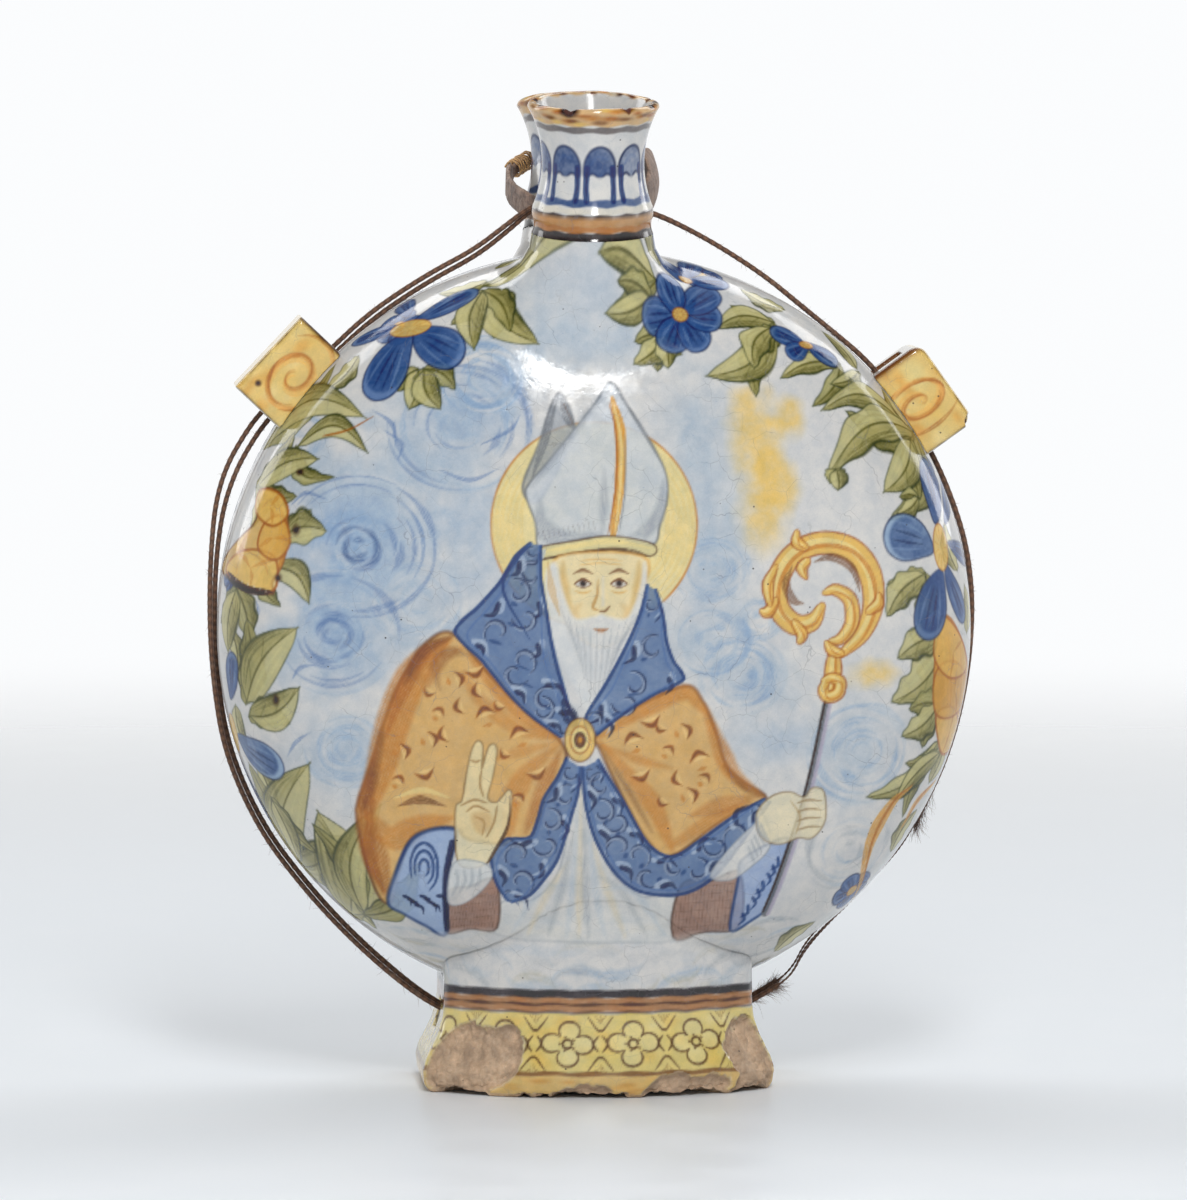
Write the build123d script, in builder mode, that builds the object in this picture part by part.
from build123d import *
import math
import os

# Double pilgrim flask in glazed earthenware, hung on a doubled carrying cord.
# The painted front faces -Y, +X is to its right and Z = 0 is the ground under the foot.
# All lengths are in millimetres and all angles in degrees.

# Chambers: two deep dishes, each closed by a flat back wall, joined back to back
disc_radius = 121.8
chamber_sink = 7.4
chamber_depth = 52.0
shoulder_radius = 36.0
chamber_wall = 6.0
back_wall = 5.0
groove_depth = 2.6
groove_half_width = 2.5

# Necks: one on each chamber, leaning away from each other
neck_sideways = -2.0
neck_spacing = 50.0
neck_seat_rise = 6.3
neck_lean = 8.0
neck_bore_radius = 13.5
neck_throat_height = 31.0
neck_base_radius = 19.4
neck_base_height = 8.0
neck_band_inset = 0.6
neck_waist_radius = 16.4
neck_waist_height = 22.0
lip_radius = 21.0
lip_height = 40.6
lip_thickness = 2.8
lip_crown = 1.7
collar_drop = 36.0
collar_spread = 15.0

# Foot: one hollow foot under both chambers
foot_height = 33.0
foot_width = 113.4
foot_end_depth = 58.0
foot_full_depth = 100.0
foot_corner = 7.0
foot_wall = 9.0
foot_crown = 5.0
cord_hole_width = 13.0
cord_hole_height = 9.0
cord_hole_drop = 10.5
cord_hole_corner = 2.5

# Lugs: one bridge on each shoulder, with a tunnel for the cord
lug_length = 31.0
lug_rise = 16.6
lug_depth = 30.0
lug_corner = 4.0
lug_edge = 2.0
lug_root = 14.0
tunnel_width = 13.0
tunnel_rise = 10.6
tunnel_corner = 1.5
left_lug_angle = 140.0
left_lug_facing_angle = 136.5
right_lug_angle = 35.0
right_lug_facing_angle = 35.5

# Cord and its worn core threads; each bend takes this share of the shorter run beside it
strand_diameter = 1.7
thread_diameter = 0.6
bend_share = 0.45

# Leather strap looped round the rear neck, and the twine wound on its bound waist
strap_width = 9.0
strap_thickness = 1.6
strap_half_span = 25.0
strap_slack = 1.9
strap_backward = 0.33
strap_rise = 14.5
strap_tilt = 23.0
bound_width = 3.4
bound_angle = 142.0
twine_diameter = 0.8
twine_pitch = 1.3
twine_turns = 8
twine_clearance = 0.45

# One length by which a cut runs past what it cuts
overrun = 20.0

# Heights that follow from the sizes: the chambers sit a little way into the foot
disc_centre_height = foot_height - chamber_sink + disc_radius
neck_seat_height = disc_centre_height + disc_radius + neck_seat_rise
strap_height = neck_seat_height + strap_rise
strap_half_reach = neck_spacing / 2 + strap_slack
cord_hole_level = foot_height - cord_hole_drop

disc_plane = Plane.XY.offset(disc_centre_height)
disc_axis = Axis((0, 0, disc_centre_height), (0, 1, 0))
back_plane = Plane.XZ.offset(back_wall)


def dome_outline(inset):
    """Half section of a chamber, drawn inwards by inset: crown arc, shoulder arc, flat back."""
    shoulder_centre = disc_radius - shoulder_radius
    drop = chamber_depth - back_wall
    crown_radius = (shoulder_centre**2 + drop**2 - shoulder_radius**2) / (2 * (drop - shoulder_radius))
    crown_centre = crown_radius - chamber_depth
    stretch = (crown_radius - inset) / (crown_radius - shoulder_radius)
    top = (0, inset - chamber_depth)
    meet = (shoulder_centre * stretch, crown_centre - (crown_centre + back_wall) * stretch)
    rim = (disc_radius - inset, -back_wall)
    with BuildLine() as outline:
        RadiusArc(top, meet, inset - crown_radius)
        RadiusArc(meet, rim, inset - shoulder_radius)
        Polyline(rim, (0, -back_wall), top)
    return make_face(outline.edges())


def back_outline():
    """Half section of a back wall, whose rounded edge makes one side of the groove."""
    lip = back_wall - groove_half_width
    edge_radius = (lip**2 + groove_depth**2) / (2 * groove_depth)
    rim = (disc_radius, -back_wall)
    floor = (disc_radius - groove_depth, -groove_half_width)
    with BuildLine() as outline:
        RadiusArc(rim, floor, -edge_radius)
        Polyline(floor, (disc_radius - groove_depth, 0), (0, 0), (0, -back_wall), rim)
    return make_face(outline.edges())


# Outside of both chambers together, used to seat the lugs and the foot
with BuildPart() as envelope:
    with BuildSketch(disc_plane):
        half = dome_outline(0) + back_outline()
        add(half)
        add(mirror(half, about=Plane.XZ))
    revolve(axis=disc_axis)

lean = math.radians(neck_lean)
neck_plane = Plane(
    origin=(neck_sideways, -neck_spacing / 2, neck_seat_height),
    x_dir=(1, 0, 0),
    z_dir=(0, -math.sin(lean), math.cos(lean)),
)
neck_axis = Axis(neck_plane.origin, neck_plane.z_dir)
neck_side = Plane(origin=neck_plane.origin, x_dir=(1, 0, 0), z_dir=-neck_plane.y_dir)

# Front dish of the front chamber, with the collar that carries the neck
collar_shares = [(0, 0), (0.14, 0.06), (0.28, 0.25), (0.45, 0.6), (0.68, 0.9), (1, 1)]
with BuildPart() as front_chamber_dome:
    with BuildSketch(disc_plane):
        add(dome_outline(0))
    revolve(axis=disc_axis)
    for drop_share, spread_share in collar_shares:
        with BuildSketch(neck_plane.offset(-collar_drop * drop_share)):
            Ellipse(neck_base_radius + collar_spread * spread_share, neck_base_radius)
    loft()
    split(bisect_by=back_plane, keep=Keep.TOP)
    with BuildSketch(disc_plane):
        add(dome_outline(chamber_wall))
    revolve(axis=disc_axis, mode=Mode.SUBTRACT)
    with BuildSketch(neck_plane):
        Circle(neck_bore_radius)
    extrude(amount=-collar_drop, mode=Mode.SUBTRACT)
front_chamber_dome.part.label = "front_chamber_dome"

# Flat back wall of the front chamber
with BuildPart() as front_chamber_back:
    with BuildSketch(disc_plane):
        add(back_outline())
    revolve(axis=disc_axis)
front_chamber_back.part.label = "front_chamber_back"

# Front neck: banded base, drawn-in waist, flared lip and a straight bore
with BuildPart() as front_neck:
    with BuildSketch(neck_side):
        band = neck_base_radius - neck_band_inset
        mouth = (lip_radius - lip_thickness, lip_height + lip_crown / 2)
        with BuildLine():
            ThreePointArc(
                (neck_base_radius, 0),
                (band, neck_base_height / 3),
                (neck_base_radius, neck_base_height * 2 / 3),
            )
            Line((neck_base_radius, neck_base_height * 2 / 3), (neck_base_radius, neck_base_height))
            ThreePointArc(
                (neck_base_radius, neck_base_height),
                (neck_waist_radius, neck_waist_height),
                (lip_radius, lip_height),
            )
            ThreePointArc(
                (lip_radius, lip_height),
                (lip_radius - lip_thickness / 2, lip_height + lip_crown),
                mouth,
            )
            Polyline(
                mouth,
                (neck_bore_radius, neck_throat_height),
                (neck_bore_radius, 0),
                (neck_base_radius, 0),
            )
        make_face()
    revolve(axis=neck_axis)
front_neck.part.label = "front_neck"

# The rear chamber and its neck mirror the front ones
with BuildPart() as rear_chamber_dome:
    add(mirror(front_chamber_dome.part, about=Plane.XZ))
rear_chamber_dome.part.label = "rear_chamber_dome"

with BuildPart() as rear_chamber_back:
    add(mirror(front_chamber_back.part, about=Plane.XZ))
rear_chamber_back.part.label = "rear_chamber_back"

with BuildPart() as rear_neck:
    add(mirror(front_neck.part, about=Plane.XZ))
rear_neck.part.label = "rear_neck"


def barrel(half_width, end_half_depth, half_depth, corner):
    """Plan of the foot: straight ends, front and back bowed outwards, rounded corners."""
    with BuildLine() as outline:
        ThreePointArc((-half_width, -end_half_depth), (0, -half_depth), (half_width, -end_half_depth))
        Line((half_width, -end_half_depth), (half_width, end_half_depth))
        ThreePointArc((half_width, end_half_depth), (0, half_depth), (-half_width, end_half_depth))
        Line((-half_width, end_half_depth), (-half_width, -end_half_depth))
    plan = make_face(outline.edges())
    return fillet(plan.vertices(), corner)


# Foot, from the ground up: height, width, depth at the ends and depth in the middle
foot_shares = [
    (0, 0.965, 0.95, 0.965),
    (0.07, 0.992, 0.99, 0.99),
    (0.2, 1, 1, 1),
    (0.31, 0.982, 0.99, 0.99),
    (0.42, 0.95, 0.965, 0.978),
    (0.54, 0.915, 0.94, 0.965),
    (0.7, 0.885, 0.915, 0.95),
    (0.85, 0.876, 0.905, 0.942),
    (1, 0.875, 0.9, 0.935),
    (1.35, 0.875, 0.89, 0.9),
    (1.8, 0.84, 0.86, 0.87),
    (2.3, 0.72, 0.76, 0.8),
]
foot_top_shares = foot_shares[8]
with BuildPart() as foot_hollow:
    with BuildSketch():
        hollow_plan = barrel(
            foot_width * foot_top_shares[1] / 2 - foot_wall,
            foot_end_depth * foot_top_shares[2] / 2 - foot_wall,
            foot_full_depth * foot_top_shares[3] / 2 - foot_wall,
            foot_corner,
        )
        add(hollow_plan)
    extrude(amount=foot_height)
    with BuildSketch(Plane.XZ.offset(-foot_full_depth)):
        with Locations((0, disc_centre_height)):
            Circle(disc_radius + foot_crown)
    extrude(amount=2 * foot_full_depth, mode=Mode.SUBTRACT)

with BuildPart() as foot:
    for height_share, width_share, end_share, depth_share in foot_shares:
        with BuildSketch(Plane.XY.offset(foot_height * height_share)):
            plan = barrel(
                foot_width * width_share / 2,
                foot_end_depth * end_share / 2,
                foot_full_depth * depth_share / 2,
                foot_corner,
            )
            add(plan)
    loft(ruled=True)
    add(envelope.part, mode=Mode.SUBTRACT)
    add(foot_hollow.part, mode=Mode.SUBTRACT)
    hole_start = foot_width / 2 - 2 * foot_wall
    for side in (1, -1):
        hole_plane = Plane(origin=(side * hole_start, 0, cord_hole_level), x_dir=(0, 1, 0), z_dir=(side, 0, 0))
        with BuildSketch(hole_plane):
            RectangleRounded(cord_hole_width, cord_hole_height, cord_hole_corner)
        extrude(amount=foot_wall + overrun, mode=Mode.SUBTRACT)
foot.part.label = "foot"

# Lugs: a rounded block bridging the groove, seated on both chambers
lugs = {}
for lug_name, place, facing in [
    ("left_lug", left_lug_angle, left_lug_facing_angle),
    ("right_lug", right_lug_angle, right_lug_facing_angle),
]:
    place_angle = math.radians(place)
    outward = Vector(math.cos(math.radians(facing)), 0, math.sin(math.radians(facing)))
    seat = Vector(
        disc_radius * math.cos(place_angle), 0, disc_centre_height + disc_radius * math.sin(place_angle)
    )
    along = Vector(0, 1, 0).cross(outward)
    with BuildPart() as lug:
        with BuildSketch(Plane(origin=seat - Vector(0, lug_depth / 2, 0), x_dir=outward, z_dir=(0, 1, 0))):
            with Locations(((lug_rise - lug_root) / 2, 0)):
                block = Rectangle(lug_rise + lug_root, lug_length)
            fillet(block.vertices().group_by(Axis(seat, outward))[-1], lug_corner)
        extrude(amount=lug_depth)
        outer_edges = (
            lug.faces().group_by(Axis.Y)[0].edges() + lug.faces().group_by(Axis.Y)[-1].edges()
        ).filter_by_position(Axis(seat, outward), -lug_root / 2, lug_rise + lug_edge)
        fillet(outer_edges, lug_edge)
        add(envelope.part, mode=Mode.SUBTRACT)
        with BuildSketch(Plane(origin=seat, x_dir=outward, z_dir=along)):
            with Locations(((tunnel_rise - lug_root) / 2, 0)):
                opening = Rectangle(tunnel_rise + lug_root, tunnel_width)
            fillet(opening.vertices().group_by(Axis(seat, outward))[-1], tunnel_corner)
        extrude(amount=lug_length, both=True, mode=Mode.SUBTRACT)
    lug.part.label = lug_name
    lugs[lug_name] = lug

# Routes of the cord, from its worn end at the lower right, up through the right lug, between
# the necks, through the left lug and down into the foot, out to the frayed end: x, y, z
front_strand_route = [
    (103.9, -1.0, 82.6),
    (109.9, -1.0, 93.6),
    (115.8, -1.0, 107.8),
    (120.1, -1.0, 124.0),
    (122.5, -1.0, 141.0),
    (123.0, -1.0, 158.0),
    (120.9, -1.0, 174.0),
    (116.3, -1.0, 188.5),
    (110.9, -1.0, 201.0),
    (103.7, -1.0, 213.9),
    (96.1, -1.0, 224.6),
    (87.2, -1.0, 234.7),
    (76.9, -1.0, 243.2),
    (66.8, -1.0, 251.4),
    (56.4, -1.0, 260.0),
    (43.8, -1.1, 268.4),
    (32.0, -1.6, 275.2),
    (19.5, -2.8, 281.2),
    (6.0, -4.3, 284.6),
    (-8.0, -4.4, 285.7),
    (-19.5, -2.9, 284.0),
    (-27.9, -1.6, 277.6),
    (-38.5, -0.8, 269.4),
    (-52.6, -0.6, 262.0),
    (-67.0, -0.6, 252.8),
    (-76.0, -0.8, 245.8),
    (-83.6, -1.0, 238.6),
    (-91.8, -1.2, 231.2),
    (-100.9, -1.3, 223.4),
    (-108.3, -1.3, 216.2),
    (-113.6, -1.3, 208.6),
    (-118.6, -1.2, 199.6),
    (-121.9, -1.1, 188.6),
    (-123.3, -1.0, 175.6),
    (-124.0, -1.0, 159.6),
    (-123.8, -1.0, 143.0),
    (-122.4, -1.0, 127.0),
    (-119.9, -1.0, 111.0),
    (-114.4, -1.0, 95.4),
    (-106.8, -1.0, 80.6),
    (-97.6, -1.0, 68.0),
    (-88.0, -1.0, 56.6),
    (-77.8, -1.0, 46.0),
    (-66.8, -1.0, 36.0),
    (-56.6, -1.0, 28.0),
    (-46.8, -1.0, 22.4),
    (-34.6, -1.0, 18.0),
    (-19.0, -1.0, 14.8),
    (-2.0, -1.0, 13.6),
    (15.0, -1.0, 14.4),
    (30.4, -1.0, 17.2),
    (42.8, -1.0, 21.4),
    (52.2, -1.0, 26.0),
    (60.2, -1.0, 31.0),
]
rear_strand_route = [
    (103.9, 0.9, 82.6),
    (109.9, 0.9, 93.6),
    (115.8, 0.9, 107.8),
    (120.1, 0.9, 124.0),
    (122.5, 0.9, 141.0),
    (123.0, 0.9, 158.0),
    (120.9, 0.9, 174.0),
    (116.3, 0.9, 188.5),
    (110.9, 0.9, 201.0),
    (103.7, 0.9, 213.9),
    (96.1, 0.9, 224.6),
    (87.2, 0.9, 234.7),
    (76.9, 0.9, 243.2),
    (66.8, 0.9, 251.4),
    (56.4, 0.9, 260.0),
    (43.8, 0.8, 268.4),
    (32.0, 0.3, 275.2),
    (19.5, -0.9, 281.0),
    (6.0, -2.4, 284.6),
    (-8.0, -2.5, 285.4),
    (-19.0, -1.0, 283.2),
    (-26.8, 0.4, 276.0),
    (-37.6, 1.0, 267.4),
    (-51.6, 1.1, 260.0),
    (-65.9, 1.1, 250.9),
    (-74.9, 1.0, 243.9),
    (-82.4, 1.0, 236.9),
    (-90.4, 0.9, 229.8),
    (-98.9, 0.9, 221.4),
    (-105.8, 0.9, 213.8),
    (-110.8, 0.9, 206.6),
    (-115.5, 0.9, 198.0),
    (-119.2, 0.9, 187.4),
    (-121.3, 0.9, 175.0),
    (-122.4, 1.0, 159.6),
    (-122.3, 1.0, 143.0),
    (-121.0, 1.0, 127.2),
    (-118.4, 0.9, 111.6),
    (-112.9, 0.8, 96.2),
    (-105.4, 0.7, 81.6),
    (-96.3, 0.7, 69.2),
    (-86.8, 0.7, 57.8),
    (-76.7, 0.7, 47.2),
    (-65.8, 0.7, 37.3),
    (-55.9, 0.8, 29.2),
    (-46.4, 0.9, 23.4),
    (-34.4, 0.9, 18.8),
    (-19.0, 0.9, 15.6),
    (-2.0, 0.9, 14.4),
    (15.0, 0.9, 15.2),
    (30.4, 0.9, 18.0),
    (42.4, 0.9, 22.4),
    (51.6, 0.9, 27.0),
    (59.6, 0.9, 32.0),
]
# The three core threads that still join the worn end to the frayed end
thread_routes = [
    [
        (103.9, -1.45, 82.6),
        (100.6, -1.45, 76.5),
        (93.2, -1.7, 68.2),
        (84.4, -1.9, 59.0),
        (75.6, -1.9, 50.6),
        (68.2, -1.7, 43.0),
        (64.2, -1.45, 33.5),
        (60.2, -1.45, 31.0),
    ],
    [
        (103.9, -0.6, 82.6),
        (100.6, -0.6, 76.5),
        (92.6, -0.4, 67.2),
        (83.6, -0.2, 57.8),
        (74.4, -0.1, 48.8),
        (68.0, -0.3, 41.0),
        (64.2, -0.6, 33.5),
        (60.2, -0.6, 31.0),
    ],
    [
        (103.9, 0.9, 82.6),
        (100.6, 0.9, 76.5),
        (93.8, 1.2, 69.6),
        (85.8, 1.5, 61.0),
        (77.2, 1.6, 52.8),
        (69.2, 1.4, 45.0),
        (64.0, 0.9, 34.7),
        (59.6, 0.9, 32.0),
    ],
]


def bend_radii(route):
    """Largest tangent arc that each corner of a route has room for."""
    points = [Vector(*point) for point in route]
    radii = []
    for before, corner, after in zip(points, points[1:], points[2:]):
        run_in = corner - before
        run_out = after - corner
        turn = math.radians(run_in.get_angle(run_out))
        radii.append(bend_share * min(run_in.length, run_out.length) / math.tan(turn / 2))
    return radii


def describe_tube(name, route, path, solid, diameter):
    """Print the tightest bend, the length and how the volume compares with section times length."""
    section = math.pi * diameter**2 / 4
    print(
        name,
        "least radius",
        round(min(bend_radii(route)), 1),
        "length",
        round(path.length, 1),
        "volume ratio",
        round(solid.volume / (section * path.length), 4),
    )


# The cord is doubled: two strands run side by side all the way
strands = {}
for strand_name, route in [
    ("cord_front_strand", front_strand_route),
    ("cord_rear_strand", rear_strand_route),
]:
    with BuildPart() as strand:
        with BuildLine() as strand_path:
            FilletPolyline(*route, radius=bend_radii(route))
        centre_line = strand_path.wire()
        with BuildSketch(Plane(origin=centre_line @ 0, z_dir=centre_line % 0)):
            Circle(strand_diameter / 2)
        sweep(path=centre_line)
    describe_tube(strand_name, route, centre_line, strand.part, strand_diameter)
    strand.part.label = strand_name
    strands[strand_name] = strand

# Core threads, bare where the woven sheath has worn away
with BuildPart() as core_threads:
    for route in thread_routes:
        with BuildLine() as thread_path:
            FilletPolyline(*route, radius=bend_radii(route))
        centre_line = thread_path.wire()
        with BuildSketch(Plane(origin=centre_line @ 0, z_dir=centre_line % 0)):
            Circle(thread_diameter / 2)
        sweep(path=centre_line)
core_threads.part.label = "core_threads"

# Leather strap: a loose tilted loop round the rear neck that passes just behind the cord
level_strap = Plane(origin=(neck_sideways, neck_spacing / 2 + strap_backward, strap_height))
strap_plane = level_strap.rotated((strap_tilt, 0, 0))
bound_turn = math.radians(bound_angle)
bound_inner_x = (strap_half_span - strap_thickness / 2) * math.cos(bound_turn)
bound_inner_y = (strap_half_reach - strap_thickness / 2) * math.sin(bound_turn)
bound_tangent = (
    strap_plane.y_dir * (strap_half_reach * math.cos(bound_turn))
    - strap_plane.x_dir * (strap_half_span * math.sin(bound_turn))
).normalized()
bound_plane = Plane(
    origin=strap_plane.from_local_coords(Vector(bound_inner_x, bound_inner_y, 0)),
    x_dir=bound_tangent.cross(strap_plane.z_dir),
    z_dir=bound_tangent,
)
twine_length = twine_pitch * twine_turns
with BuildPart() as leather_strap:
    with BuildSketch(strap_plane):
        Ellipse(strap_half_span, strap_half_reach)
        Ellipse(strap_half_span - strap_thickness, strap_half_reach - strap_thickness, mode=Mode.SUBTRACT)
    extrude(amount=strap_width / 2, both=True)
    with BuildSketch(bound_plane):
        with Locations((0, strap_width / 2 + bound_width / 2), (0, -strap_width / 2 - bound_width / 2)):
            Rectangle(strap_width, strap_width)
    extrude(amount=twine_length / 2 + twine_pitch, both=True, mode=Mode.SUBTRACT)
leather_strap.part.label = "leather_strap"

# Twine: one unbroken winding of open turns on the bound waist, each quarter turn an arc
twine_radius = math.hypot(bound_width, strap_thickness) / 2 + twine_diameter / 2 + twine_clearance
print("twine least gap", round(twine_pitch - twine_diameter, 2))


def twine_point(quarter_turns):
    """Point of the winding after so many quarter turns."""
    angle = quarter_turns * math.pi / 2
    advance = quarter_turns * twine_pitch / 4 - twine_length / 2
    return bound_plane.from_local_coords(
        Vector(twine_radius * math.cos(angle), twine_radius * math.sin(angle), advance)
    )


with BuildPart() as twine_binding:
    with BuildLine() as twine_path:
        for quarter in range(4 * twine_turns):
            ThreePointArc(twine_point(quarter), twine_point(quarter + 0.5), twine_point(quarter + 1))
    winding = twine_path.wire()
    with BuildSketch(Plane(origin=winding @ 0, z_dir=winding % 0)):
        Circle(twine_diameter / 2)
    sweep(path=winding)
twine_binding.part.label = "twine_binding"

sub_parts = [
    front_chamber_dome,
    front_chamber_back,
    rear_chamber_dome,
    rear_chamber_back,
    front_neck,
    rear_neck,
    foot,
    *lugs.values(),
    *strands.values(),
    core_threads,
    leather_strap,
    twine_binding,
]
os.makedirs("parts", exist_ok=True)
for sub_part in sub_parts:
    export_step(sub_part.part, f"parts/{sub_part.part.label}.step")
    print(sub_part.part.label, len(sub_part.part.solids()), round(sub_part.part.volume))
